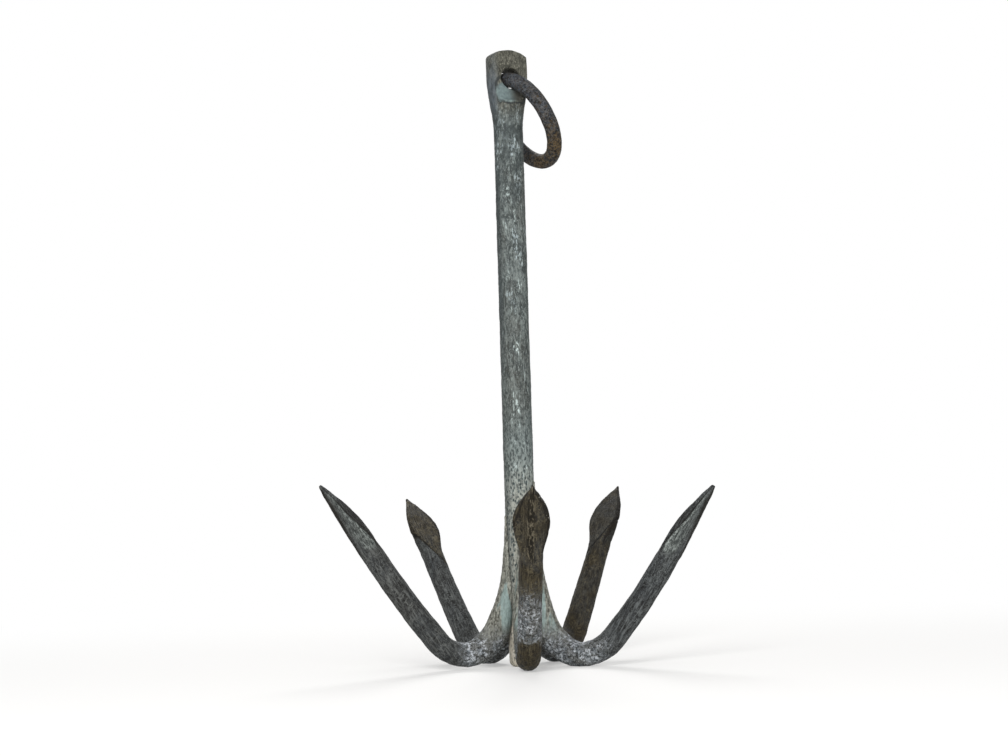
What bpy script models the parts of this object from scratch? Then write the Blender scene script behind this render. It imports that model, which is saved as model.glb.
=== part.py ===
"""Five-armed forged grapnel anchor with a loose ring in the eye of its shank.

Metres, +Z up along the shank. The origin is the centre of the shank's butt end,
level with the worn undersides of the five arm bends, on which the anchor stands.
"""

from collections import namedtuple
from math import cos, hypot, pi, radians, sin, sqrt

import bmesh
import bpy
from mathutils import Matrix, Vector

# ---------------------------------------------------------------- driving dimensions
FIT_GAP = 0.0003            # air left between two pieces that touch
CUTTER_REACH = 0.240        # long enough for a cutter to pass right through

# shank and its eye head
HEIGHT = 0.610              # butt end to top of head
SHANK_R = 0.0146
BUTT_ROUND = 0.006          # hammered edge of the butt end
SHANK_SIDES = 32
HEAD_R = 0.0208
HEAD_TAPER = 0.0004         # how much slimmer it is at its top edge
HEAD_SHOULDER_Z = 0.6025    # where the domed top begins
HEAD_WIDEST_Z = 0.582
NECK_END_Z = 0.529          # where the head has run out into the bar
EYE_Z = 0.5795
EYE_R = 0.0104
EYE_LIP = 0.0013            # wear on the mouths of the eye
EYE_TURN = 25.0             # degrees the eye looks to the right of the front arm's side
FLAT_HALF = 0.0110          # half the thickness between the two flats
FLAT_FOOT_Z = 0.556         # where the flats run out
FLAT_RUN_OUT = 0.006

# ring
RING_R = 0.0450             # to the middle of its wire
RING_WIRE_R = 0.0075
RING_TANGENT_TURN = 28.0    # wire's heading where it leaves the eye, degrees
RING_TANGENT_DIP = 6.3      # and how far it heads downwards
RING_LEAN = 31.5            # degrees that the ring lies over to the right
RING_SHIFT = Vector((-0.0015, 0.0001, 0.0003))   # wire's middle in the eye

# arms
ROOT_REACH = 0.0224         # middle of an arm from the shank's axis at its root
WORN_DEPTH = 0.0007         # metal worn off the underside of each bend
TONGUE_TOP_OUT = 0.0156     # outside of the forge-welded tongue's tip, from the axis
TONGUE_SLOPE = 0.006        # how much further out it lies where the root flares
TONGUE_TOP_DEPTH = 0.0024
TONGUE_TOP_HALF = 0.0030
CROOK_FILL = 0.0035         # extra metal upset into the crook of the root bend
SECTION_POINTS = 20

# leaf-shaped bill, measured back from its point along the arm
BILL_LENGTH = 0.080
BILL_WIDEST = 0.045
BILL_HALF_WIDTH = 0.0169
BILL_POINT_HALF_WIDTH = 0.0017
BILL_POINT_THICKNESS = 0.0044
BILL_EDGE = 0.0005          # left standing just past its point
BILL_NECK_THICKNESS = 0.0212
BILL_THICKNESS_POWER = 1.5  # above 1, the bill thickens fastest near its point
RIDGE_DEPTH = 0.0112        # from the arm's middle line to the ridge on the bill's back
BILL_RIDGE_DROP = 0.0026    # how far that ridge closes in towards the point
NECK_R = 0.0108
FACET_SLANT = 42.6          # degrees, side facets against the bill's inner face
FACET_END = 0.078
FACET_DEPTH_RATE = 0.052    # how fast the facets deepen towards the point
FACET_HOLLOW_R = 0.060      # the facets are slightly hollow
ARM_SOLVER = "MANIFOLD"     # the exact one leaves holes where the facets run out

# Each arm was forged by eye. Its turn is its bearing from the front, + to the right. Its
# tongue begins at tongue_z up the shank. It leaves the root downwards, bends out level
# over root_bend_r and up over rise_bend_r, curls on through its last degrees of rise as
# it climbs, and ends at end_z. Its bend stands off the ground by its lift.
Arm = namedtuple(
    "Arm", "name turn bar_r tongue_z root_bend_r rise_bend_r rise curl end_z lift")
ARMS = (
    Arm("arm_front", 3.1, 0.0113, 0.150, 0.0325, 0.0305, 55.7, 3.3, 0.1731, 0.0006),
    Arm("arm_left", -72.3, 0.0115, 0.146, 0.0355, 0.0370, 57.4, 6.4, 0.1824, 0.0030),
    Arm("arm_right", 71.7, 0.0118, 0.178, 0.0341, 0.0441, 58.7, 9.8, 0.1713, 0.0),
    Arm("arm_back_left", -142.3, 0.0122, 0.155, 0.0390, 0.0413, 57.0, 4.7, 0.1718, 0.0),
    Arm("arm_back_right", 145.3, 0.0126, 0.160, 0.0377, 0.0391, 59.6, 4.0, 0.1784, 0.0),
)


# ---------------------------------------------------------------- helpers
def clear_scene():
    for obj in list(bpy.data.objects):
        bpy.data.objects.remove(obj, do_unlink=True)


def make_collection(name):
    collection = bpy.data.collections.new(name)
    bpy.context.scene.collection.children.link(collection)
    return collection


def move_to(obj, collection):
    for owner in list(obj.users_collection):
        owner.objects.unlink(obj)
    collection.objects.link(obj)


def material(name, colour, roughness, metallic):
    result = bpy.data.materials.new(name)
    result.use_nodes = True
    shader = result.node_tree.nodes["Principled BSDF"]
    shader.inputs["Base Color"].default_value = (*colour, 1.0)
    shader.inputs["Roughness"].default_value = roughness
    shader.inputs["Metallic"].default_value = metallic
    return result


def mesh_object(name, bm, collection):
    """A closed mesh with its faces pointing out, as an object."""
    bmesh.ops.recalc_face_normals(bm, faces=bm.faces)
    mesh = bpy.data.meshes.new(name)
    bm.to_mesh(mesh)
    bm.free()
    obj = bpy.data.objects.new(name, mesh)
    collection.objects.link(obj)
    return obj


def shade_round(obj):
    obj.data.shade_smooth()
    obj.data.set_sharp_from_angle(angle=radians(35))


def as_cutter(obj):
    move_to(obj, cutters)
    obj.hide_render = True
    obj.display_type = "WIRE"
    return obj


def cut(obj, cutter, solver="EXACT"):
    boolean = obj.modifiers.new(cutter.name, "BOOLEAN")
    boolean.operation = "DIFFERENCE"
    boolean.solver = solver
    boolean.object = cutter


def turned(name, profile, sides, collection):
    """A solid turned about Z from (radius, height) points that run down its outer side."""
    mesh = bpy.data.meshes.new(name)
    edges = [(i, i + 1) for i in range(len(profile) - 1)]
    mesh.from_pydata([(radius, 0.0, height) for radius, height in profile], edges, [])
    obj = bpy.data.objects.new(name, mesh)
    collection.objects.link(obj)
    screw = obj.modifiers.new("turn", "SCREW")
    screw.steps = screw.render_steps = sides
    screw.use_merge_vertices = True
    screw.merge_threshold = 0.00001
    screw.use_smooth_shade = True
    return obj


def prism(name, outline, half_width, collection):
    """An outline in the XZ plane, extruded evenly along Y."""
    bm = bmesh.new()
    corners = [bm.verts.new((x, -half_width, z)) for x, z in outline]
    side = bm.faces.new(corners)
    grown = bmesh.ops.extrude_face_region(bm, geom=[side])["geom"]
    moved = [item for item in grown if isinstance(item, bmesh.types.BMVert)]
    bmesh.ops.translate(bm, verts=moved, vec=(0.0, 2 * half_width, 0.0))
    return mesh_object(name, bm, collection)


def loft(name, rings, collection):
    """A closed solid through rings of equally many points."""
    bm = bmesh.new()
    loops = [[bm.verts.new(point) for point in ring] for ring in rings]
    count = len(loops[0])
    for lower, upper in zip(loops, loops[1:]):
        for i in range(count):
            j = (i + 1) % count
            bm.faces.new((lower[i], lower[j], upper[j], upper[i]))
    bm.faces.new(loops[0])
    bm.faces.new(loops[-1])
    return mesh_object(name, bm, collection)


def ease(value):
    """0 to 1 with level ends."""
    value = min(max(value, 0.0), 1.0)
    return value * value * (3.0 - 2.0 * value)


def bearing(degrees, dip=0.0):
    """Unit vector towards a bearing from the front (-Y), + to the right, dipping down."""
    turn, fall = radians(degrees), radians(dip)
    return Vector((sin(turn) * cos(fall), -cos(turn) * cos(fall), -sin(fall)))


# ---------------------------------------------------------------- shank
def shank_profile():
    """(radius, height) down the outside of the head, neck, bar and butt end."""
    points = []
    dome = HEIGHT - HEAD_SHOULDER_Z
    shoulder_r = HEAD_R - HEAD_TAPER
    dome_r = (shoulder_r ** 2 + dome ** 2) / (2 * dome)
    for step in range(5):
        radius = shoulder_r * step / 4
        points.append((radius, HEIGHT - dome_r + sqrt(dome_r ** 2 - radius ** 2)))
    points.append((HEAD_R, HEAD_WIDEST_Z))
    neck_steps = 7
    for step in range(1, neck_steps + 1):
        run = step / neck_steps
        height = HEAD_WIDEST_Z + (NECK_END_Z - HEAD_WIDEST_Z) * run
        points.append((HEAD_R + (SHANK_R - HEAD_R) * ease(run), height))
    for step in range(5):
        turn = pi / 2 * step / 4
        radius = SHANK_R - BUTT_ROUND * (1 - cos(turn))
        points.append((radius, BUTT_ROUND * (1 - sin(turn))))
    points.append((0.0, 0.0))
    return points


def make_shank():
    shank = turned("shank", shank_profile(), SHANK_SIDES, anchor)
    shank.data.materials.append(
        material("weathered_zinc_shank", (0.16, 0.18, 0.18), 0.62, 0.75))

    # two flats, square to the eye, each ending in a rounded foot
    above = HEIGHT + HEAD_R
    beside = 2 * HEAD_R
    foot = [(FLAT_HALF, above), (FLAT_HALF, FLAT_FOOT_Z + FLAT_RUN_OUT)]
    for step in range(1, 6):
        turn = pi / 2 * step / 5
        foot.append((FLAT_HALF + FLAT_RUN_OUT * (1 - cos(turn)),
                     FLAT_FOOT_Z + FLAT_RUN_OUT * (1 - sin(turn))))
    foot += [(beside, FLAT_FOOT_Z), (beside, above)]
    for side, turn in (("front", EYE_TURN - 90), ("back", EYE_TURN + 90)):
        flat = as_cutter(prism(f"flat_{side}_cutter", foot, beside, anchor))
        flat.rotation_euler.z = radians(turn)
        cut(shank, flat)

    # the eye, with a worn lip at both mouths
    mouth = FLAT_HALF - EYE_LIP
    clear = 2 * FLAT_HALF
    flare_r = EYE_R + clear - mouth
    bore = [(0.0, clear), (flare_r, clear), (EYE_R, mouth),
            (EYE_R, -mouth), (flare_r, -clear), (0.0, -clear)]
    eye = as_cutter(turned("eye_cutter", bore, 40, anchor))
    eye.location = (0.0, 0.0, EYE_Z)
    eye.rotation_euler = bearing(EYE_TURN).to_track_quat("Z", "Y").to_euler()
    cut(shank, eye)


# ---------------------------------------------------------------- arms
def bill_half_width(back):
    """Half the bill's width at a distance back from its point."""
    if back < BILL_WIDEST:
        swelling = sin(pi / 2 * (back / BILL_WIDEST) ** 1.1)
        return hypot(BILL_HALF_WIDTH * swelling, BILL_POINT_HALF_WIDTH)
    closing = ease((BILL_LENGTH - back) / (BILL_LENGTH - BILL_WIDEST))
    return NECK_R + (BILL_HALF_WIDTH - NECK_R) * closing


def ridge_depth(back):
    """From the arm's middle line out to the ridge along the bill's back."""
    closing = max(1.0 - back / BILL_LENGTH, 0.0) ** 1.5
    return RIDGE_DEPTH - BILL_RIDGE_DROP * closing


def section(half_width, inner, outer, inner_power):
    """Closed outline (sideways, outwards) of a bar, squarer on its inner side as the
    power grows above 2."""
    points = []
    for step in range(SECTION_POINTS):
        turn = 2 * pi * step / SECTION_POINTS
        across, out = cos(turn), sin(turn)
        power = inner_power if out < 0 else 2.0
        depth = inner if out < 0 else outer
        across = abs(across) ** (2 / power) * (1 if across > 0 else -1)
        out = abs(out) ** (2 / power) * (1 if out > 0 else -1)
        points.append((half_width * across, depth * out))
    return points


def ring_at(reach, height, heading, outline):
    """The outline set square across the arm's middle line, which heads along `heading`
    in the XZ plane. Outwards is the convex side of the arm's hook."""
    ahead_x, ahead_z = heading
    return [(reach + out * ahead_z, across, height - out * ahead_x)
            for across, out in outline]


def tongue_rings(bar_r, top_z, root_z):
    """From the tongue's thin tip down to the full bar at the root."""
    rings = []
    steps = 7
    for step in range(steps):
        run = step / steps
        height = top_z + (root_z - top_z) * run
        outside = TONGUE_TOP_OUT + TONGUE_SLOPE * run
        outside += (ROOT_REACH + bar_r - TONGUE_TOP_OUT - TONGUE_SLOPE) * run ** 4
        depth = TONGUE_TOP_DEPTH + (bar_r - TONGUE_TOP_DEPTH) * run ** 2
        half_width = TONGUE_TOP_HALF + (bar_r - TONGUE_TOP_HALF) * run ** 1.6
        outline = section(half_width, depth, depth, 2.0)
        rings.append(ring_at(outside - depth, height, (0.0, -1.0), outline))
    return rings


def bend(centre, radius, start, turn, steps, outline_at):
    """Rings round a bend in the XZ plane, after the one at its start, and the place and
    heading where it ends. outline_at gives the section at 0 to 1 of the way round."""
    rings = []
    for step in range(1, steps + 1):
        run = step / steps
        angle = start + turn * run
        place = (centre[0] + radius * cos(angle), centre[1] + radius * sin(angle))
        heading = (-sin(angle), cos(angle))
        rings.append(ring_at(*place, heading, outline_at(run)))
    return rings, place, heading


def arm_rings(arm):
    """Rings from the tongue round the bend and up to the point of the bill."""
    rise, curl = radians(arm.rise), radians(arm.curl)
    lowest = 3 * pi / 2
    bottom_x = ROOT_REACH + arm.root_bend_r
    foot_z = arm.bar_r - WORN_DEPTH + arm.lift
    root_z = foot_z + arm.root_bend_r

    def root_outline(run):
        crook = arm.bar_r + CROOK_FILL * sin(pi * run)
        return section(arm.bar_r, crook, arm.bar_r, 2.0)

    def round_outline(radius):
        return section(radius, radius, radius, 2.0)

    def climbing_outline(run):
        return round_outline(arm.bar_r + (NECK_R - arm.bar_r) * run)

    rings = tongue_rings(arm.bar_r, arm.tongue_z, root_z)
    rings.append(ring_at(ROOT_REACH, root_z, (0.0, -1.0), round_outline(arm.bar_r)))
    root_bend, place, heading = bend(
        (bottom_x, root_z), arm.root_bend_r, pi, pi / 2, 7, root_outline)
    rise_bend, place, heading = bend(
        (bottom_x, foot_z + arm.rise_bend_r), arm.rise_bend_r, lowest, rise - curl, 5,
        lambda run: round_outline(arm.bar_r))

    # the climbing bar curls on over one long arc and thins towards the bill's neck
    climb = arm.end_z - place[1] - BILL_LENGTH * sin(rise)
    curl_r = climb / (cos(rise - curl) - cos(rise))
    curl_centre = (place[0] - curl_r * heading[1], place[1] + curl_r * heading[0])
    climbing, place, heading = bend(
        curl_centre, curl_r, lowest + rise - curl, curl, 4, climbing_outline)
    rings += root_bend + rise_bend + climbing

    bill_steps = 17
    for step in range(1, bill_steps + 1):
        back = BILL_LENGTH * (1 - step / bill_steps) ** 1.15
        run = BILL_LENGTH - back
        squareness = ease(run / (BILL_LENGTH - BILL_WIDEST))
        outline = section(bill_half_width(back), NECK_R, ridge_depth(back),
                          2.0 + 2.0 * squareness)
        rings.append(ring_at(place[0] + run * heading[0], place[1] + run * heading[1],
                             heading, outline))
    end = Vector((place[0] + BILL_LENGTH * heading[0], 0.0, arm.end_z))
    return rings, end


def inner_face_outline():
    """Outline (along, inwards) of the metal forged away over the bill's inner face."""
    full = BILL_NECK_THICKNESS - BILL_POINT_THICKNESS
    clear = 2 * BILL_NECK_THICKNESS
    beyond = NECK_R
    outline = [(beyond, clear), (beyond, -ridge_depth(0.0) + BILL_EDGE)]
    steps = 10
    for step in range(steps + 1):
        back = BILL_LENGTH * step / steps
        grown = 1 - (1 - step / steps) ** BILL_THICKNESS_POWER
        thickness = BILL_POINT_THICKNESS + full * grown
        outline.append((-back, thickness - ridge_depth(back)))
    run_out = -BILL_LENGTH - beyond
    outline += [(run_out, RIDGE_DEPTH + BILL_EDGE), (run_out, clear)]
    return outline


def bill_frame(end, rise):
    """Frame at the arm's end: X on along the arm, Y sideways, Z to its inner side."""
    ahead = Vector((cos(rise), 0.0, sin(rise)))
    inward = Vector((-sin(rise), 0.0, cos(rise)))
    frame = Matrix((ahead, Vector((0.0, 1.0, 0.0)), inward)).transposed().to_4x4()
    return Matrix.Translation(end) @ frame


def facet_frame(side):
    """Axis of the hollow side facet, in the bill's frame."""
    slant = radians(FACET_SLANT)
    square_on = Vector((0.0, side * sin(slant), -cos(slant)))
    near_end = RIDGE_DEPTH + FACET_HOLLOW_R
    middle = FACET_END / 2
    depth = FACET_DEPTH_RATE * (FACET_END - middle)
    axis = Vector((-1.0, 0.0, 0.0)) + square_on * FACET_DEPTH_RATE
    spot = Vector((-middle, 0.0, 0.0)) + square_on * (near_end - depth)
    turn = axis.to_track_quat("Z", "Y").to_matrix().to_4x4()
    return Matrix.Translation(spot) @ turn


def make_arm(arm):
    rings, end = arm_rings(arm)
    solid = loft(arm.name, rings, anchor)
    solid.data.materials.append(
        material(f"forged_zinc_{arm.name}", (0.09, 0.095, 0.09), 0.6, 0.7))
    solid.rotation_euler.z = radians(arm.turn - 90)

    frame = bill_frame(end, radians(arm.rise))
    face = as_cutter(prism(
        f"{arm.name}_face_cutter", inner_face_outline(), 2 * BILL_HALF_WIDTH, anchor))
    face.parent = solid
    face.matrix_local = frame
    cut(solid, face, ARM_SOLVER)
    for side in (-1, 1):
        bpy.ops.mesh.primitive_cylinder_add(
            vertices=128, radius=FACET_HOLLOW_R, depth=CUTTER_REACH)
        facet = as_cutter(bpy.context.object)
        facet.name = f"{arm.name}_facet_cutter"
        facet.parent = solid
        facet.matrix_local = frame @ facet_frame(side)
        cut(solid, facet, ARM_SOLVER)
    cut(solid, scarf, ARM_SOLVER)
    cut(solid, ground, ARM_SOLVER)
    shade_round(solid)


# ---------------------------------------------------------------- ring
def make_ring():
    """The ring hangs from an empty on the eye's axis, about which it swings."""
    tangent = bearing(RING_TANGENT_TURN, RING_TANGENT_DIP)
    down = Vector((0.0, 0.0, -1.0))
    plumb = (down - tangent * down.dot(tangent)).normalized()
    right = plumb.cross(tangent)
    if right.x < 0:
        right.negate()
    lean = radians(RING_LEAN)
    hang = plumb * cos(lean) + right * sin(lean)

    pivot = bpy.data.objects.new("ring_pivot", None)
    anchor.objects.link(pivot)
    pivot.location = (0.0, 0.0, EYE_Z)

    bpy.ops.mesh.primitive_torus_add(
        major_radius=RING_R, minor_radius=RING_WIRE_R, major_segments=56, minor_segments=16)
    ring = bpy.context.object
    ring.name = "ring"
    move_to(ring, anchor)
    shade_round(ring)
    ring.data.materials.append(material("dark_forged_ring", (0.055, 0.055, 0.05), 0.6, 0.7))
    ring.parent = pivot
    turn = Matrix((hang, tangent, hang.cross(tangent))).transposed().to_4x4()
    ring.matrix_local = Matrix.Translation(RING_SHIFT + hang * RING_R) @ turn


clear_scene()
anchor = make_collection("grapnel_anchor")
cutters = make_collection("cutters")

bpy.ops.mesh.primitive_cylinder_add(
    vertices=SHANK_SIDES, radius=SHANK_R + FIT_GAP / cos(pi / SHANK_SIDES),
    depth=2 * CUTTER_REACH)
scarf = as_cutter(bpy.context.object)
scarf.name = "scarf_cutter"
bpy.ops.mesh.primitive_cube_add(
    size=2 * CUTTER_REACH, location=(0.0, 0.0, -CUTTER_REACH))
ground = as_cutter(bpy.context.object)
ground.name = "ground_cutter"

make_shank()
for arm in ARMS:
    make_arm(arm)
make_ring()
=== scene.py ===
"""Finish of the forged grapnel anchor: hammered, pitted surfaces and weathered zinc.

Every piece is made from its own solid in the frame, so it keeps that solid's place and
size: the solid's mesh is copied, closed, remeshed finely, worn a little round and then
given its hammer dents, crust and pits. Metres, +Z up along the shank.
"""

from collections import namedtuple
from math import cos, hypot, pi, radians, sin

import bpy
from mathutils import Euler, Matrix, Vector


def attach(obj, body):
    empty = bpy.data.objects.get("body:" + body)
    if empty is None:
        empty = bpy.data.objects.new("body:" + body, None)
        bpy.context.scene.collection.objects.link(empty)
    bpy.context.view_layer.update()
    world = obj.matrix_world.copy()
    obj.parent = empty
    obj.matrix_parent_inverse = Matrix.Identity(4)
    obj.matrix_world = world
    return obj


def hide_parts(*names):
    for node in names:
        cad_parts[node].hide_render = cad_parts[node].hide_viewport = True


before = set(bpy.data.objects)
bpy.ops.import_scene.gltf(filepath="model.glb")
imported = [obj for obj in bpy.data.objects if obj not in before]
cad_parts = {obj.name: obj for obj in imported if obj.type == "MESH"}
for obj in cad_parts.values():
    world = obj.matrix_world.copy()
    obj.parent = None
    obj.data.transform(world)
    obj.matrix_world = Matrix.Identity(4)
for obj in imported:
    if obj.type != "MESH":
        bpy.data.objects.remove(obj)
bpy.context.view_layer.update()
MM = 0.001

# Each arm's bearing from the front, + to the right, and the rise of its bill, in degrees.
# Its pale crust ends between two distances from the shank's axis, in mm. Last come how
# # much pale zinc, with its painted highlight, is left in the hollows of its bill, how brown
# # its bill and its bar are, how light they are worn, and which way the crease where the
# # bill's inner face ends runs across the bar, 0 for none.
Arm = namedtuple("Arm", "name turn rise crust_from crust_to hollow bill_brown bar_brown "
                        "light crease")
ARMS = (
    Arm("arm_front", 3.1, 55.7, 56, 66, 0.0, 0.85, 0.90, 0.55, 0),
    Arm("arm_left", -72.3, 57.4, 58, 74, 0.95, 0.30, 0.30, 0.65, 0),
    Arm("arm_right", 71.7, 58.7, 66, 96, 1.0, 0.20, 0.20, 0.80, 0),
    Arm("arm_back_left", -142.3, 57.0, 54, 80, 0.1, 0.80, 0.25, 0.70, -1),
    Arm("arm_back_right", 145.3, 59.6, 54, 74, 0.1, 0.70, 0.90, 0.20, 1),
)
EYE_Z = 0.5795
EYE_TURN = 25.0             # degrees that the eye's flats are turned from the front
BAR_REACH = 0.1             # all of an arm past this distance from the axis is bar or bill

# A bill, measured back from its point along its bar, and inwards of its point.
BILL_LENGTH = 0.080
BILL_WIDEST = 0.045
BILL_HALF_WIDTH = 0.0169
NECK_HALF_WIDTH = 0.0108
POINT_RIDGE, NECK_RIDGE = -0.0044, -0.0070      # where the ridge on its back lies
POINT_DEPTH, NECK_DEPTH = 0.0044, 0.0212        # from that ridge to its inner face
RIDGE_SIDES = 0.0042, 0.0022                    # gone and full this far from its middle
BILL_FADES = 0.088, 0.070                       # its dark lines are gone and full here
CREASE_BACK = 0.081
CREASE_SLOPE = 1.9                              # runs back this much for each step sideways
CREASE_SIDES = 0.0024, 0.0004                   # gone and full this far from its middle
CREASE_INNER = 0.001, 0.005                     # gone and full this far inwards

# Where one coat gives way to the next, in metres: gone and full, or a band's four places.
HEAD_HEIGHT = 0.535, 0.560
HEAD_SLATE_SIDE = -0.006, -0.014
HEAD_SLATE_HEIGHT = 0.600, 0.570
EYE_FLAT = -0.008, -0.010
NECK_BAND = 0.42, 0.50, 0.545, 0.56
LEFT_SHADE_HEIGHT = 0.24, 0.36
STREAK_HEIGHT = 0.55, 0.46
CLUSTER_HEIGHT = 0.30, 0.40
CHALK_HEIGHT = 0.27, 0.15
CHALK_SIDE = -0.013, -0.004
FOOT_HEIGHT = 0.10, 0.06
CREAM_HEIGHT = 0.22, 0.14
BUTT_HEIGHT = 0.050, 0.036
PITTED_BAND = 0.05, 0.09, 0.17, 0.28
LEFT_SHADE_SIDE = -0.007, -0.013
STREAKED_BAND = -0.011, 0.002, 0.008, 0.013
ROOT_REACH = 0.056, 0.036
ROOT_HEIGHT = 0.016, 0.045
ROOT_PATCH_BAND = 0.026, 0.046, 0.078, 0.108
FRONT_CRUST_BAND = 0.024, 0.036, 0.048, 0.086
FRONT_CRUST_REACH = 0.050, 0.064
RING_RUST_HEIGHT = 0.545, 0.500

# The zinc patch below the eye and the painted shade line round its foot: middle and half sizes.
EYE_PATCH = (-0.0035, -0.0150), (0.0135, 0.0110)
EYE_PATCH_SHADE_LINE = (-0.001, -0.0125), (0.0170, 0.0150)

EDGE_WANDER = 0.05          # how raggedly the edges of coats wander, in metres
FRONT_CRUST_WANDER = 0.036
EYE_PATCH_WANDER = 0.008
PATTERN_STEP = 0.37         # from one arm's stretch of a pattern to the next arm's
CREVICE_SHADE = 0.485, 0.42       # pointiness where the painted crevice shade starts and is darkest

CAMERA_PLACE = -0.0117, -1.5817, 0.1301
CAMERA_RISE = 5.44          # degrees above level
CAMERA_ROLL = -1.71
CAMERA_LENS = 57.64         # mm, on a sensor 36 mm wide


# ---------------------------------------------------------------- meshes
def deselect_all():
    for obj in bpy.context.selected_objects:
        obj.select_set(False)


def make_active(obj):
    deselect_all()
    obj.select_set(True)
    bpy.context.view_layer.objects.active = obj


def apply_modifier(obj, kind, **settings):
    """Adds a modifier with its settings and applies it."""
    make_active(obj)
    modifier = obj.modifiers.new(kind.lower(), kind)
    for name, value in settings.items():
        setattr(modifier, name, value)
    bpy.ops.object.modifier_apply(modifier=modifier.name)


def relief(kind, size_mm, **settings):
    """A solid texture whose features are about size_mm across, for a Displace modifier."""
    texture = bpy.data.textures.new(f"{kind.lower()}_{size_mm}mm", kind)
    texture.noise_scale = size_mm * MM
    for name, value in settings.items():
        setattr(texture, name, value)
    return texture


def displace(obj, texture, height_mm, middle=0.5, where=""):
    apply_modifier(obj, "DISPLACE", texture=texture, texture_coords="LOCAL",
                   strength=height_mm * MM, mid_level=middle, vertex_group=where)


def forged_copy(name, voxel_mm, soften):
    """A CAD node's mesh as one fine even skin with its edges worn round."""
    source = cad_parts[name]
    mesh = source.data.copy()
    mesh.materials.clear()
    obj = bpy.data.objects.new(f"forged_{name}", mesh)
    bpy.context.scene.collection.objects.link(obj)
    make_active(obj)
    bpy.ops.object.mode_set(mode="EDIT")
    bpy.ops.mesh.select_all(action="SELECT")
    bpy.ops.mesh.remove_doubles(threshold=0.01 * MM)
    bpy.ops.object.mode_set(mode="OBJECT")
    apply_modifier(obj, "REMESH", mode="VOXEL", voxel_size=voxel_mm * MM,
                   adaptivity=0.0, use_smooth_shade=True)
    apply_modifier(obj, "SMOOTH", factor=0.5, iterations=soften)
    return obj


def ramp(value, low, high):
    """0 below low, 1 above high and even between; high below low turns it round."""
    return min(max((value - low) / (high - low), 0.0), 1.0)


def smooth(value, low, high):
    """ramp with level ends."""
    share = ramp(value, low, high)
    return share * share * (3.0 - 2.0 * share)


def mark(obj, name, rule):
    """A number on each vertex, by a rule of its place, that materials read by name."""
    values = [rule(vertex.co) for vertex in obj.data.vertices]
    obj.data.attributes.new(name, "FLOAT", "POINT").data.foreach_set("value", values)


def weigh(obj, name, rule):
    """A vertex group whose weights, in tenths, follow a rule of the vertex's place."""
    group = obj.vertex_groups.new(name=name)
    shares = {}
    for vertex in obj.data.vertices:
        shares.setdefault(round(10 * rule(vertex.co)), []).append(vertex.index)
    for tenths, members in shares.items():
        group.add(members, tenths / 10, "REPLACE")


# ---------------------------------------------------------------- places on a bill
def bill_frame(arm):
    """A bill's point and its frame: X on along the arm, Y sideways, Z to its inner side."""
    points = [vertex.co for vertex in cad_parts[arm.name].data.vertices]
    tip = max((co for co in points if hypot(co.x, co.y) > BAR_REACH), key=lambda co: co.z)
    turn = Matrix.Rotation(radians(arm.turn - 90), 3, "Z")
    rise = radians(arm.rise)
    ahead = Vector((cos(rise), 0.0, sin(rise)))
    inward = Vector((-sin(rise), 0.0, cos(rise)))
    axes = turn @ Matrix((ahead, Vector((0.0, 1.0, 0.0)), inward)).transposed()
    return tip.copy(), axes


def on_bill(arm, rule):
    """A rule of distances back, sideways and inwards on a bill, as one of a vertex's place."""
    tip, axes = bill_frame(arm)
    into_bill = axes.transposed()

    def placed(co):
        along, side, inner = into_bill @ (co - tip)
        return 0.0 if -along > 1.2 * BILL_LENGTH else rule(-along, side, inner)
    return placed


def half_width(back):
    """Half a bill's width at a distance back from its point."""
    if back < BILL_WIDEST:
        return BILL_HALF_WIDTH * sin(pi / 2 * (max(back, 0.002) / BILL_WIDEST) ** 1.1)
    spread = smooth(back, BILL_LENGTH, BILL_WIDEST)
    return NECK_HALF_WIDTH + (BILL_HALF_WIDTH - NECK_HALF_WIDTH) * spread


def up_side(back, inner):
    """How far up a bill's side a place is, 0 at the ridge on its back and 1 at its inner
    face. The bill thins towards its point."""
    thinning = max(1.0 - back / BILL_LENGTH, 0.0) ** 1.5
    ridge = NECK_RIDGE + (POINT_RIDGE - NECK_RIDGE) * thinning
    depth = NECK_DEPTH + (POINT_DEPTH - NECK_DEPTH) * thinning
    return (inner - ridge) / depth


def hollow_edge(back):
    """How far up the side its hollow reaches."""
    return 0.56 + 0.28 * smooth(back, 0.032, 0.076)


def zinc_and_highlight_rule(back, side, inner):
    """Zinc left in the hollow of a bill's side, brightened with a painted highlight: a thread
    near the point that widens into a lens with a round lower end, with the painted highlight
    brightest along its upper edge."""
    up, edge = up_side(back, inner), hollow_edge(back)
    lens = smooth(up, 0.10, 0.34) * smooth(up, edge + 0.03, edge - 0.03)
    lens *= smooth(back, 0.008, 0.016)
    lens *= smooth(back + 0.05 * (up - 0.6) ** 2, 0.080, 0.075)
    upper = smooth(up, edge - 0.20, edge - 0.03)
    low = smooth(back, 0.022, 0.066)
    return lens * (0.12 + 0.38 * low + (0.45 + 0.05 * low) * upper)


def shade_rule(back, side, inner):
    """Painted shade on a bill: dark lines along its rims and a painted shadow line along the
    upper edge of each hollow.
    """
    up, edge = up_side(back, inner), hollow_edge(back)
    painted_shade_line = smooth(up, edge - 0.01, edge + 0.03) * smooth(up, edge + 0.16, edge + 0.08)
    return max(rim_rule(back, side, inner), 0.9 * painted_shade_line * smooth(back, *BILL_FADES))


def ridge_rule(back, side, inner):
    """The blunt ridge down the middle of a bill's back."""
    low = smooth(up_side(back, inner), 0.40, 0.20)
    middle = smooth(abs(side), *RIDGE_SIDES)
    return middle * low * smooth(back, *BILL_FADES)


def rim_rule(back, side, inner):
    """The rims that run down a bill from its point, where its face and its sides meet, and how
    dark the painted shade along them is.
    """
    outer = smooth(abs(side) / half_width(back), 0.80, 0.95)
    return 0.9 * outer * smooth(back, *BILL_FADES)


def point_rule(back, side, inner):
    """The bill's blunt point, worn rounder than the rest."""
    return smooth(back, 0.012, 0.004)


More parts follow.
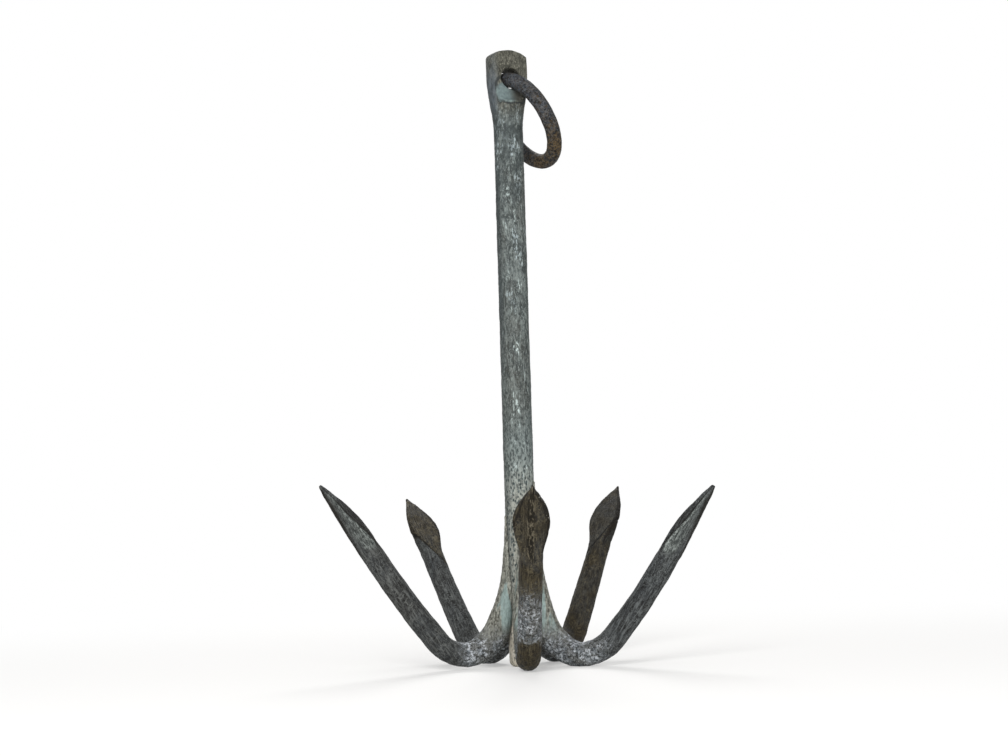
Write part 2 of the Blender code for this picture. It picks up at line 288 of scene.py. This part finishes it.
def crease_rule(way):
    """The groove that runs aslant across the bar where a bill's inner face ends; it is cut into
    the mesh and darkened with painted shade.
    """
    def rule(back, side, inner):
        off = abs(back - way * CREASE_SLOPE * side - CREASE_BACK)
        return ramp(off, *CREASE_SIDES) * ramp(inner, *CREASE_INNER)
    return rule


# ---------------------------------------------------------------- surface relief
HAMMER_DENTS = relief("CLOUDS", 24, noise_depth=1)
FORGING_WAVES = relief("CLOUDS", 8, noise_depth=1)
ZINC_CRUST = relief("CLOUDS", 2.4, noise_depth=3)
SCALE_GRAIN = relief("CLOUDS", 1.5, noise_depth=2)
PITS = relief("VORONOI", 3.2, distance_metric="DISTANCE", color_mode="INTENSITY")


# ---------------------------------------------------------------- materials
# Kinds of node with their settings. Values are given to a node's inputs in their order.
PLACE = "ShaderNodeTexCoord", {}
SPLIT = "ShaderNodeSeparateXYZ", {}
JOIN = "ShaderNodeCombineXYZ", {}                        # x, y
LENGTH = "ShaderNodeVectorMath", {"operation": "LENGTH"}
SHAPE = "ShaderNodeNewGeometry", {}
MAP = "ShaderNodeMapping", {}                            # place, shift, turn, scale
TO_FRAME = "ShaderNodeMapping", {"vector_type": "TEXTURE"}              # place, origin, turn
NOISE = "ShaderNodeTexNoise", {}         # place, scale, detail, roughness, -, distortion
CELLS = "ShaderNodeTexVoronoi", {}                       # place, scale
MIX = "ShaderNodeMix", {"data_type": "RGBA"}             # share, under, over
STEP = "ShaderNodeMapRange", {"interpolation_type": "SMOOTHSTEP"}   # value, 2 places, 2 results
PLUS = "ShaderNodeMath", {"operation": "ADD"}
MINUS = "ShaderNodeMath", {"operation": "SUBTRACT"}
TIMES = "ShaderNodeMath", {"operation": "MULTIPLY"}
OVER = "ShaderNodeMath", {"operation": "DIVIDE"}
POWER = "ShaderNodeMath", {"operation": "POWER"}
LARGER = "ShaderNodeMath", {"operation": "MAXIMUM"}
UNSIGNED = "ShaderNodeMath", {"operation": "ABSOLUTE"}
BUMP = "ShaderNodeBump", {}                              # strength, distance, -, height
LIGHT_PATH = "ShaderNodeLightPath", {}
GLOW = "ShaderNodeEmission", {}
MIX_SHADERS = "ShaderNodeMixShader", {}                  # share, under, over

# The numbers that mark puts on a bill's vertices.
SHADE = "ShaderNodeAttribute", {"attribute_name": "shade"}
RIDGE = "ShaderNodeAttribute", {"attribute_name": "ridge"}
RIM = "ShaderNodeAttribute", {"attribute_name": "rim"}
CREASE = "ShaderNodeAttribute", {"attribute_name": "crease"}
ZINC_AND_HIGHLIGHT = "ShaderNodeAttribute", {"attribute_name": "zinc"}


def colour(code):
    """An sRGB hex value as a linear colour."""
    channels = [int(code[i:i + 2], 16) / 255 for i in (1, 3, 5)]
    linear = [c / 12.92 if c <= 0.04045 else ((c + 0.055) / 1.055) ** 2.4
              for c in channels]
    return (*linear, 1.0)


def per(size_mm):
    """Texture scale whose features are about size_mm across."""
    return 1.0 / (size_mm * MM)


def give(tree, socket, value):
    """Links a node or one of its outputs to an input, or sets a plain value on it."""
    if isinstance(value, bpy.types.Node):
        value = next(output for output in value.outputs if output.enabled)
    if isinstance(value, bpy.types.NodeSocket):
        tree.links.new(value, socket)
    elif value is not None:
        socket.default_value = value


def add(tree, kind, *values):
    """Adds a node and gives the values to its inputs; None leaves one as it is."""
    name, settings = kind
    node = tree.nodes.new(name)
    for setting, value in settings.items():
        setattr(node, setting, value)
    for socket, value in zip([s for s in node.inputs if s.enabled], values):
        give(tree, socket, value)
    return node


def spots(tree, place, size_mm, clear, full, most=1.0, detail=3.0, roughness=0.6):
    """A random pattern about size_mm across, 0 where its noise is at clear and most where
    it is at full."""
    field = add(tree, NOISE, place, per(size_mm), detail, roughness)
    return add(tree, STEP, field, clear, full, 0.0, most)


def band(tree, value, start, full, fade, end):
    """0 up to start, 1 from full to fade and 0 past end."""
    return add(tree, TIMES, add(tree, STEP, value, start, full),
               add(tree, STEP, value, end, fade))


def new_material(name, metallic, specular):
    result = bpy.data.materials.new(name)
    result.use_nodes = True
    shader = result.node_tree.nodes["Principled BSDF"]
    shader.inputs["Metallic"].default_value = metallic
    shader.inputs["Specular IOR Level"].default_value = specular
    return result, result.node_tree, shader


def finish_surface(tree, shader, tint, coat, smoothest, roughest, grain, depth_mm):
    """Paints shade into crevices, then gives the shader its colour, roughness and fine bump."""
    pointed = add(tree, SHAPE).outputs["Pointiness"]
    # Painted shade: crevices, found by their pointiness, are darkened towards near black.
    crevice_shade = add(tree, STEP, pointed, *CREVICE_SHADE, 0.0, 0.85)
    give(tree, shader.inputs["Base Color"], add(tree, MIX, crevice_shade, tint, colour("#181817")))
    give(tree, shader.inputs["Roughness"],
         add(tree, STEP, coat["mottle"], 0.0, 1.0, smoothest, roughest))
    give(tree, shader.inputs["Normal"], add(tree, BUMP, 0.8, depth_mm * MM, None, grain))


def zinc_coat(tree, place):
    """The layers that every piece's weathered zinc is mixed from, each 0 to 1: pale salt
    grains, drawn about twice as coarse as real ones so that they show, dark pits, mottling
    and broad stains."""
    return {
        "grains": spots(tree, place, 1.3, 0.52, 0.66, 1.0, 2.0, 0.7),
        "pits": spots(tree, place, 1.9, 0.50, 0.38, 1.0, 2.0, 0.6),
        "mottle": spots(tree, place, 4.5, 0.32, 0.68, 1.0, 4.0, 0.7),
        "stain": spots(tree, place, 26.0, 0.38, 0.62, 1.0, 3.0, 0.55),
    }


def shank_zinc():
    """Hot-dip galvanised steel bar, decades at sea: the dull zinc has turned mid grey and
    chalky, with white and blue-green salts drawn down the bar in broken streaks, and low
    down it is palest and eaten into a honeycomb of pits. The head is drier and browner."""
    result, tree, shader = new_material("weathered_galvanised_bar", 0.1, 0.12)
    where = add(tree, PLACE).outputs["Object"]
    split = add(tree, SPLIT, where)
    across, height = split.outputs["X"], split.outputs["Z"]
    coat = zinc_coat(tree, add(tree, MAP, where, None, None, (1, 1, 0.5)))
    tint = add(tree, MIX, coat["mottle"], colour("#3a3f40"), colour("#606665"))
    tint = drawn_salts(tree, tint, where, across, height, coat)
    tint = add(tree, MIX, add(tree, TIMES, coat["pits"], 0.65), tint, colour("#2e3333"))
    tint = head_coat(tree, tint, where, across, height, coat)
    finish_surface(tree, shader, tint, coat, 0.60, 0.82, coat["grains"], 0.35)
    return result


def drawn_salts(tree, tint, where, across, height, coat):
    """Pale salts in blotches and threads down the bar, brightest right of its middle, and
    dark runs between them. The bar's left margin is darkened to slate with painted shade,
    most strongly higher up."""
    loose = add(tree, MAP, where, None, None, (1, 1, 0.45))
    drawn = add(tree, MAP, where, None, None, (1, 1, 0.16))
    tint = add(tree, MIX, spots(tree, loose, 7.0, 0.44, 0.60, 0.45), tint, colour("#848c89"))
    tint = add(tree, MIX, spots(tree, drawn, 3.6, 0.52, 0.42, 0.7), tint, colour("#323736"))
    tint = add(tree, MIX, add(tree, TIMES, coat["stain"], 0.3), tint, colour("#4a453d"))
    tint = add(tree, MIX, add(tree, TIMES, coat["grains"], 0.5), tint, colour("#979e9b"))
    tint = low_chalk(tree, tint, where, across, height, coat)
    tint = add(tree, MIX, spots(tree, drawn, 1.2, 0.50, 0.64, 0.33), tint, colour("#97a19e"))
    # Painted shade down the bar's left side.
    left = add(tree, STEP, across, *LEFT_SHADE_SIDE, 0.0, 0.6)
    left = add(tree, TIMES, left, add(tree, STEP, height, *LEFT_SHADE_HEIGHT, 0.3, 1.0))
    tint = add(tree, MIX, left, tint, colour("#363d40"))
    middle = add(tree, STEP, band(tree, across, *STREAKED_BAND), 0.0, 1.0, 0.4, 1.0)
    upper = add(tree, STEP, height, *STREAK_HEIGHT, 0.45, 1.0)
    speckled = add(tree, TIMES, spots(tree, loose, 11.0, 0.46, 0.58, 1.0, 2.0),
                   spots(tree, loose, 1.5, 0.44, 0.58, 1.0, 2.0))
    streaks = add(tree, TIMES, spots(tree, drawn, 2.6, 0.53, 0.62, 1.0, 3.0, 0.65), speckled)
    streaks = add(tree, TIMES, streaks, add(tree, TIMES, middle, upper))
    tint = add(tree, MIX, streaks, tint, colour("#b5c1bf"))
    clusters = add(tree, TIMES, spots(tree, loose, 2.0, 0.50, 0.60, 0.8, 2.0),
                   spots(tree, loose, 15.0, 0.53, 0.62, 1.0, 2.0, 0.5))
    clusters = add(tree, TIMES, clusters, add(tree, STEP, height, *CLUSTER_HEIGHT))
    tint = add(tree, MIX, clusters, tint, colour("#aab6b9"))
    neck = add(tree, TIMES, band(tree, height, *NECK_BAND),
               spots(tree, loose, 9.0, 0.60, 0.42, 0.68, 2.0))
    return add(tree, MIX, neck, tint, colour("#343a3b"))


def low_chalk(tree, tint, where, across, height, coat):
    """Palest zinc on the lowest third of the bar, eaten through in dark round pits, and
    almost cream on its foot, which is painted paler still as painted light where it sits in
    the shade between the arms."""
    chalk = add(tree, MIX, coat["mottle"], colour("#717d7c"), colour("#a0abaa"))
    cream = add(tree, MIX, coat["mottle"], colour("#8b8b82"), colour("#b9b9ae"))
    chalk = add(tree, MIX, add(tree, STEP, height, *CREAM_HEIGHT), chalk, cream)
    # Real cream of the foot, painted paler as painted light against the shade between the arms.
    butt_cream_and_painted_light = add(tree, MIX, coat["mottle"], colour("#c9bfac"), colour("#efe8da"))
    chalk = add(tree, MIX, add(tree, STEP, height, *BUTT_HEIGHT), chalk, butt_cream_and_painted_light)
    low = add(tree, STEP, height, *CHALK_HEIGHT)
    side = add(tree, STEP, across, *CHALK_SIDE, 0.35, 0.85)
    side = add(tree, LARGER, side, add(tree, STEP, height, *FOOT_HEIGHT, 0.0, 0.95))
    tint = add(tree, MIX, add(tree, TIMES, low, side), tint, chalk)
    rounds = add(tree, CELLS, add(tree, MAP, where, None, None, (1, 1, 0.62)), per(2.8))
    eaten = add(tree, TIMES, add(tree, STEP, rounds, 0.46, 0.24),
                band(tree, height, *PITTED_BAND))
    return add(tree, MIX, eaten, tint, colour("#3b4343"))


def head_coat(tree, tint, where, across, height, coat):
    """Drier brownish grey over the head, bluish down its left side, with the smooth patch
    of blue-green zinc on its flat below the eye and a line of painted shade round the
    patch's foot, where the flat ends."""
    dry = add(tree, MIX, coat["mottle"], colour("#3b3b35"), colour("#64635a"))
    dry = add(tree, MIX, add(tree, TIMES, coat["grains"], 0.6), dry, colour("#979587"))
    dry = add(tree, MIX, add(tree, TIMES, coat["pits"], 0.6), dry, colour("#282823"))
    slate = add(tree, MIX, coat["mottle"], colour("#3a4044"), colour("#646c73"))
    left = add(tree, TIMES, add(tree, STEP, across, *HEAD_SLATE_SIDE, 0.0, 0.85),
               add(tree, STEP, height, *HEAD_SLATE_HEIGHT, 0.3, 1.0))
    dry = add(tree, MIX, left, dry, slate)
    tint = add(tree, MIX, add(tree, STEP, height, *HEAD_HEIGHT), tint, dry)

    eye = add(tree, TO_FRAME, where, (0, 0, EYE_Z), (0, 0, radians(EYE_TURN)))
    split = add(tree, SPLIT, eye)
    ragged = add(tree, MINUS, add(tree, NOISE, where, per(5.0), 4.0, 0.65), 0.5)
    ragged = add(tree, TIMES, ragged, EYE_PATCH_WANDER)
    aside = add(tree, PLUS, split.outputs["X"], ragged)
    above = add(tree, PLUS, split.outputs["Z"], ragged)
    front = add(tree, STEP, split.outputs["Y"], *EYE_FLAT)
    # Painted shade: a dark line round the foot of the patch, where the flat meets the rounded
    # head.
    foot = oval(tree, aside, above, *EYE_PATCH_SHADE_LINE)
    painted_shade_line = add(tree, TIMES, front, band(tree, foot, 0.80, 0.93, 0.97, 1.12))
    tint = add(tree, MIX, add(tree, TIMES, painted_shade_line, 0.8), tint, colour("#2b2f30"))
    patch = add(tree, MIX, add(tree, NOISE, where, per(2.5), 3.0), colour("#48545a"),
                colour("#869694"))
    patch = add(tree, MIX, add(tree, STEP, aside, -0.006, 0.006, 0.0, 0.9), patch,
                colour("#46433c"))
    spread = oval(tree, aside, above, *EYE_PATCH)
    kept = add(tree, TIMES, front, add(tree, STEP, spread, 1.05, 0.80, 0.0, 0.95))
    return add(tree, MIX, kept, tint, patch)


def oval(tree, across, above, middle, half_sizes):
    """1 on a rounded box with those half sizes, less inside it and more outside."""
    total = 0.0
    for value, centre, half in zip((across, above), middle, half_sizes):
        share = add(tree, OVER, add(tree, MINUS, value, centre), half)
        cubed = add(tree, POWER, add(tree, UNSIGNED, share), 3.0)
        total = add(tree, PLUS, cubed, total)
    return add(tree, POWER, total, 1 / 3)


def arm_zinc(arm, shift):
    """Hot-dip galvanised forged bar: the zinc is worn off the climbing bar and its bill,
    which have gone dark slate with a fine grain and a brown cast. It lies thick, pale and
    flecked with white round the bend, and runs up the root in smooth blue-green patches."""
    result, tree, shader = new_material(f"weathered_galvanised_{arm.name}", 0.1, 0.12)
    where = add(tree, PLACE).outputs["Object"]
    split = add(tree, SPLIT, where)
    height = split.outputs["Z"]
    reach = add(tree, LENGTH, add(tree, JOIN, split.outputs["X"], split.outputs["Y"]))
    coat = zinc_coat(tree, where)
    ragged = add(tree, MINUS, add(tree, NOISE, where, per(9.0), 4.0, 0.7), 0.5)
    wandering = add(tree, PLUS, reach, add(tree, TIMES, ragged, EDGE_WANDER))

    tip, axes = bill_frame(arm)
    on_axes = add(tree, TO_FRAME, where, tip, axes.to_euler())
    off_axes = add(tree, SPLIT, on_axes)
    aside = add(tree, UNSIGNED, off_axes.outputs["Y"])
    aslant = add(tree, TIMES, off_axes.outputs["Y"], arm.crease * CREASE_SLOPE)
    aslant = add(tree, PLUS, off_axes.outputs["X"], aslant)
    brown = add(tree, STEP, aslant, -CREASE_BACK - 0.003, -CREASE_BACK, arm.bar_brown,
                arm.bill_brown)
    along = add(tree, MAP, on_axes, (shift, shift, shift))
    drawn = add(tree, MAP, along, None, None, (0.14, 1, 1))
    threads = spots(tree, drawn, 1.8, 0.50, 0.62, 1.0, 3.0, 0.7)
    dark = worn_steel(tree, arm, brown, along, drawn, threads, coat)
    pale = thick_crust(tree, where, coat)
    climbing = add(tree, STEP, wandering, arm.crust_from * MM, arm.crust_to * MM)
    tint = add(tree, MIX, climbing, pale, dark)
    if arm.name == "arm_front":
        tint = front_crust(tree, tint, pale, height, reach, ragged)
    rooted = add(tree, TIMES, add(tree, STEP, wandering, *ROOT_REACH),
                 add(tree, STEP, height, *ROOT_HEIGHT))
    tint = add(tree, MIX, rooted, tint, chalky_root(tree, arm, where, height, aside, coat))
    tint = bill_marks(tree, arm, tint, along)
    fine = add(tree, PLUS, coat["grains"], add(tree, TIMES, threads, climbing))
    finish_surface(tree, shader, tint, coat, 0.52, 0.76, fine, 0.32)
    return result


def worn_steel(tree, arm, brown, along, drawn, threads, coat):
    """Dark slate or olive-brown steel of the bar and bill, drawn out along them, with the
    folds that forging left in its skin."""
    slate = add(tree, MIX, coat["mottle"], colour("#202224"), colour("#484c4f"))
    olive = add(tree, MIX, coat["mottle"], colour("#1a150e"), colour("#413927"))
    browned = add(tree, TIMES, brown, add(tree, STEP, coat["stain"], 0.0, 1.0, 0.55, 1.0))
    dark = add(tree, MIX, browned, slate, olive)
    dark = add(tree, MIX, spots(tree, drawn, 1.5, 0.52, 0.40, 0.70, 3.0, 0.7), dark,
               colour("#151411"))
    worn = add(tree, MIX, brown, colour("#757c80"), colour("#71664c"))
    dark = add(tree, MIX, add(tree, TIMES, threads, 0.06 + 0.5 * arm.light), dark, worn)
    dark = add(tree, MIX, add(tree, TIMES, coat["grains"], 0.4 * arm.light), dark, worn)
    field = add(tree, NOISE, along, per(7.0), 2.0, 0.55, None, 1.0)
    off = add(tree, UNSIGNED, add(tree, MINUS, field, 0.5))
    folds = add(tree, TIMES, add(tree, STEP, off, 0.034, 0.010),
                spots(tree, along, 18.0, 0.40, 0.56, 0.25 + 0.3 * arm.light, 2.0, 0.5))
    return add(tree, MIX, folds, dark, worn)


def thick_crust(tree, where, coat):
    """Pale crust of the bends: lilac white clots between slate grey and dark pits."""
    pale = add(tree, MIX, coat["mottle"], colour("#43484b"), colour("#767b7f"))
    pale = add(tree, MIX, spots(tree, where, 13.0, 0.56, 0.42, 0.5, 2.0, 0.5), pale,
               colour("#5b5850"))
    clots = add(tree, TIMES, spots(tree, where, 3.4, 0.48, 0.60, 1.0, 3.0, 0.7),
                spots(tree, where, 12.0, 0.40, 0.58, 0.95, 2.0, 0.5))
    pale = add(tree, MIX, clots, pale, colour("#c3c8ce"))
    pale = add(tree, MIX, add(tree, TIMES, coat["grains"], 0.5), pale, colour("#c8ccd0"))
    return add(tree, MIX, spots(tree, where, 2.8, 0.50, 0.40, 0.85, 3.0, 0.65), pale,
               colour("#2d2d2b"))


def chalky_root(tree, arm, where, height, aside, coat):
    """Whitish grey of the roots, with dark specks drawn upwards, and on their flanks smooth
    long patches of pale blue-green that fade out at their edges."""
    upright = add(tree, MAP, where, None, None, (1, 1, 0.3))
    root = add(tree, MIX, coat["mottle"], colour("#6a6b64"), colour("#a3a399"))
    specks = spots(tree, upright, 1.7, 0.53, 0.42, 1.0, 2.0, 0.65)
    root = add(tree, MIX, add(tree, TIMES, specks, 0.8), root, colour("#403f39"))
    tall = add(tree, TIMES, band(tree, height, *ROOT_PATCH_BAND),
               0.25 if arm.crease else 1.0)
    tall = add(tree, TIMES, tall, add(tree, STEP, aside, 0.0030, 0.0060))
    spread = add(tree, NOISE, add(tree, MAP, where, None, None, (1, 1, 0.2)), per(11.0),
                 2.0, 0.45)
    patch = add(tree, MIX, add(tree, NOISE, upright, per(3.0), 3.0), colour("#72807d"),
                colour("#a0b1ae"))
    patch = add(tree, MIX, add(tree, TIMES, specks, 0.3), patch, colour("#565e5b"))
    kept = add(tree, TIMES, add(tree, STEP, spread, 0.47, 0.55), tall)
    root = add(tree, MIX, kept, root, patch)
    edge = add(tree, TIMES, band(tree, spread, 0.450, 0.466, 0.474, 0.492), tall)
    return add(tree, MIX, add(tree, TIMES, edge, 0.45), root, colour("#4a4d48"))


def front_crust(tree, tint, pale, height, reach, ragged):
    """A lilac-grey band of crust across the outside of the front arm's bend."""
    wandering = add(tree, PLUS, height, add(tree, TIMES, ragged, FRONT_CRUST_WANDER))
    across = add(tree, TIMES, band(tree, wandering, *FRONT_CRUST_BAND),
                 add(tree, STEP, reach, *FRONT_CRUST_REACH, 0.0, 0.9))
    return add(tree, MIX, across, tint, pale)


def bill_marks(tree, arm, tint, along):
    """What sets a bill off from its bar: painted shade along its rims and the upper edges of
    its hollows, a few bright chips on the rims, a dark ridge on the back with light wrinkles,
    the crease at its neck darkened with painted shade, and the zinc left in the hollows of
    its sides with a painted highlight along their upper edges."""
    # Painted shade: near black along the bill's rims and the upper edges of its hollows.
    shade = add(tree, SHADE).outputs["Fac"]
    tint = add(tree, MIX, add(tree, TIMES, shade, 0.85), tint, colour("#14110e"))
    ridge = add(tree, RIDGE).outputs["Fac"]
    tint = add(tree, MIX, add(tree, TIMES, ridge, 0.8), tint, colour("#17140e"))
    scoured = add(tree, MAP, along, None, None, (0.35, 1, 1))
    if arm.name == "arm_front":
        wrinkles = add(tree, TIMES, ridge, spots(tree, scoured, 1.7, 0.52, 0.62, 0.6))
        tint = add(tree, MIX, wrinkles, tint, colour("#7c7463"))
        chips = add(tree, TIMES, spots(tree, along, 1.7, 0.66, 0.72, 0.8, 1.0, 0.5),
                    spots(tree, along, 12.0, 0.50, 0.56, 1.0, 1.0, 0.5))
        chips = add(tree, TIMES, chips, add(tree, RIM).outputs["Fac"])
        tint = add(tree, MIX, chips, tint, colour("#b4b2a6"))
    if arm.crease:
        # Painted shade in the crease's groove: near black.
        crease = add(tree, TIMES, add(tree, CREASE).outputs["Fac"], 0.9)
        tint = add(tree, MIX, crease, tint, colour("#0f0e0d"))
    # Pale zinc in the hollows, brightened along their upper edges with a painted highlight.
    light = add(tree, MIX, spots(tree, scoured, 1.8, 0.40, 0.66, 1.0, 3.0, 0.7),
                colour("#3f4442"), colour("#a7aeaa"))
    hollow = add(tree, TIMES, add(tree, ZINC_AND_HIGHLIGHT).outputs["Fac"], arm.hollow)
    return add(tree, MIX, hollow, tint, light)


def ring_iron():
    """Forged steel ring, its zinc rubbed away: blue-black with a little brown rust, most
    of it low down."""
    result, tree, shader = new_material("rubbed_forged_ring", 0.15, 0.08)
    where = add(tree, PLACE).outputs["Object"]
    height = add(tree, SPLIT, where).outputs["Z"]
    coat = zinc_coat(tree, where)
    tint = add(tree, MIX, coat["mottle"], colour("#1b1c1e"), colour("#525860"))
    rusty = add(tree, TIMES, add(tree, STEP, height, *RING_RUST_HEIGHT, 0.30, 1.0),
                add(tree, STEP, coat["stain"], 0.0, 1.0, 0.50, 0.95))
    rust = add(tree, MIX, spots(tree, where, 3.0, 0.38, 0.62, 1.0, 3.0, 0.7),
               colour("#1c1712"), colour("#6a583c"))
    tint = add(tree, MIX, rusty, tint, rust)
    tint = add(tree, MIX, add(tree, TIMES, coat["grains"], 0.5), tint, colour("#6c7276"))
    tint = add(tree, MIX, add(tree, TIMES, coat["pits"], 0.6), tint, colour("#171614"))
    finish_surface(tree, shader, tint, coat, 0.62, 0.84, coat["grains"], 0.35)
    return result


# ---------------------------------------------------------------- pieces
def hand_over(obj, node, body, material):
    """Coats a finished piece and says which body it rides on and which solid it replaces."""
    obj.data.materials.append(material)
    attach(obj, body)
    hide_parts(node)


def make_shank():
    shank = forged_copy("shank", voxel_mm=0.92, soften=2)
    weigh(shank, "eaten", lambda co: ramp(co.z, 0.30, 0.16))
    displace(shank, HAMMER_DENTS, 0.7)
    displace(shank, FORGING_WAVES, 0.4)
    displace(shank, ZINC_CRUST, 0.35)
    displace(shank, PITS, 0.6, middle=0.6, where="eaten")
    hand_over(shank, "shank", "anchor", shank_zinc())


def crust_rule(arm):
    """Thick crust round the bend and root, thinning out up the climbing bar."""
    start, end = arm.crust_from * MM, arm.crust_to * MM
    return lambda co: ramp(hypot(co.x, co.y), end, start)


def make_arms():
    for index, arm in enumerate(ARMS):
        piece = forged_copy(arm.name, voxel_mm=0.71, soften=2)
        weigh(piece, "point", on_bill(arm, point_rule))
        apply_modifier(piece, "SMOOTH", factor=0.5, iterations=60, vertex_group="point")
        # Painted shade on the bill: its rims, and on bills without a crease also a shadow line
        # along each hollow's upper edge.
        mark(piece, "shade", on_bill(arm, rim_rule if arm.crease else shade_rule))
        mark(piece, "rim", on_bill(arm, rim_rule))
        mark(piece, "ridge", on_bill(arm, ridge_rule))
        # Pale zinc in the hollows, with a painted highlight brightest along their upper edges.
        mark(piece, "zinc", on_bill(arm, zinc_and_highlight_rule))
        weigh(piece, "crust", crust_rule(arm))
        weigh(piece, "hollow", on_bill(arm, zinc_and_highlight_rule))
        if arm.crease:
            mark(piece, "crease", on_bill(arm, crease_rule(arm.crease)))
            weigh(piece, "crease", on_bill(arm, crease_rule(arm.crease)))
            displace(piece, None, -1.0, middle=0.0, where="crease")
        displace(piece, None, -0.8, middle=0.0, where="hollow")
        displace(piece, HAMMER_DENTS, 1.0)
        displace(piece, FORGING_WAVES, 0.6)
        displace(piece, SCALE_GRAIN, 0.22)
        displace(piece, ZINC_CRUST, 0.9, where="crust")
        coat = arm_zinc(arm, index * PATTERN_STEP)
        hand_over(piece, arm.name, "anchor", coat)


def make_ring():
    ring = forged_copy("ring", voxel_mm=0.65, soften=2)
    displace(ring, FORGING_WAVES, 0.45)
    displace(ring, ZINC_CRUST, 0.3)
    hand_over(ring, "ring", "ring", ring_iron())


# ---------------------------------------------------------------- studio
def make_floor():
    """Pale floor that fades to white far off. Only the camera sees it so: to the object
    it is grey, and lights its underside no more than a real one would."""
    bpy.ops.mesh.primitive_plane_add(size=30.0, location=(0, 0, 0))
    floor = bpy.context.object
    floor.name = "studio_floor"
    surface = bpy.data.materials.new("studio_floor_paint")
    surface.use_nodes = True
    tree = surface.node_tree
    path = add(tree, LIGHT_PATH)
    shader = tree.nodes["Principled BSDF"]
    tint = add(tree, MIX, path.outputs["Is Camera Ray"], colour("#e6e6e3"), colour("#f6f5f3"))
    give(tree, shader.inputs["Base Color"], tint)
    shader.inputs["Roughness"].default_value = 0.9
    shader.inputs["Specular IOR Level"].default_value = 0.0
    far = add(tree, LENGTH, add(tree, PLACE).outputs["Object"])
    seen = add(tree, LARGER, path.outputs["Is Camera Ray"], path.outputs["Is Glossy Ray"])
    white = add(tree, TIMES, add(tree, STEP, far, 0.15, 1.3, 0.35, 1.0), seen)
    mixed = add(tree, MIX_SHADERS, white, shader, add(tree, GLOW, colour("#ffffff")))
    give(tree, tree.nodes["Material Output"].inputs["Surface"], mixed)
    floor.data.materials.append(surface)


def make_world():
    """White to the camera and in reflections, and a soft grey light on the object."""
    world = bpy.data.worlds.new("studio_air")
    bpy.context.scene.world = world
    world.use_nodes = True
    tree = world.node_tree
    back = tree.nodes["Background"]
    path = add(tree, LIGHT_PATH)
    seen = add(tree, LARGER, path.outputs["Is Glossy Ray"], path.outputs["Is Transmission Ray"])
    seen = add(tree, LARGER, path.outputs["Is Camera Ray"], seen)
    back.inputs["Color"].default_value = colour("#ffffff")
    give(tree, back.inputs["Strength"], add(tree, STEP, seen, 0.0, 1.0, 0.35, 1.0))


def make_lamp(name, position, aim, size, power):
    data = bpy.data.lights.new(name, "AREA")
    data.shape = "DISK"
    data.size = size
    data.energy = power
    lamp = bpy.data.objects.new(name, data)
    bpy.context.scene.collection.objects.link(lamp)
    lamp.location = position
    lamp.rotation_euler = (Vector(aim) - Vector(position)).to_track_quat("-Z", "Y").to_euler()


def make_camera():
    """Level with the bends and looking slightly up, 1.6 m in front of the shank."""
    data = bpy.data.cameras.new("camera")
    data.sensor_width = 36.0
    data.lens = CAMERA_LENS
    camera = bpy.data.objects.new("camera", data)
    bpy.context.scene.collection.objects.link(camera)
    pitch, roll = radians(90 + CAMERA_RISE), radians(CAMERA_ROLL)
    camera.matrix_world = (Matrix.Translation(CAMERA_PLACE)
                           @ Euler((pitch, 0, 0)).to_matrix().to_4x4()
                           @ Matrix.Rotation(roll, 4, "Z"))
    bpy.context.scene.camera = camera


def make_studio():
    make_floor()
    make_world()
    make_lamp("key", (-0.55, -2.0, 1.25), (0, 0, 0.3), 0.9, 33.5)
    make_lamp("fill", (0.7, -1.9, 0.35), (0, 0, 0.1), 1.2, 18.5)
    make_lamp("rear", (0.0, 2.0, 1.9), (0, 0, 0.3), 1.2, 40.0)
    bpy.context.scene.view_settings.view_transform = "Standard"


make_camera()
make_shank()
make_arms()
make_ring()
make_studio()
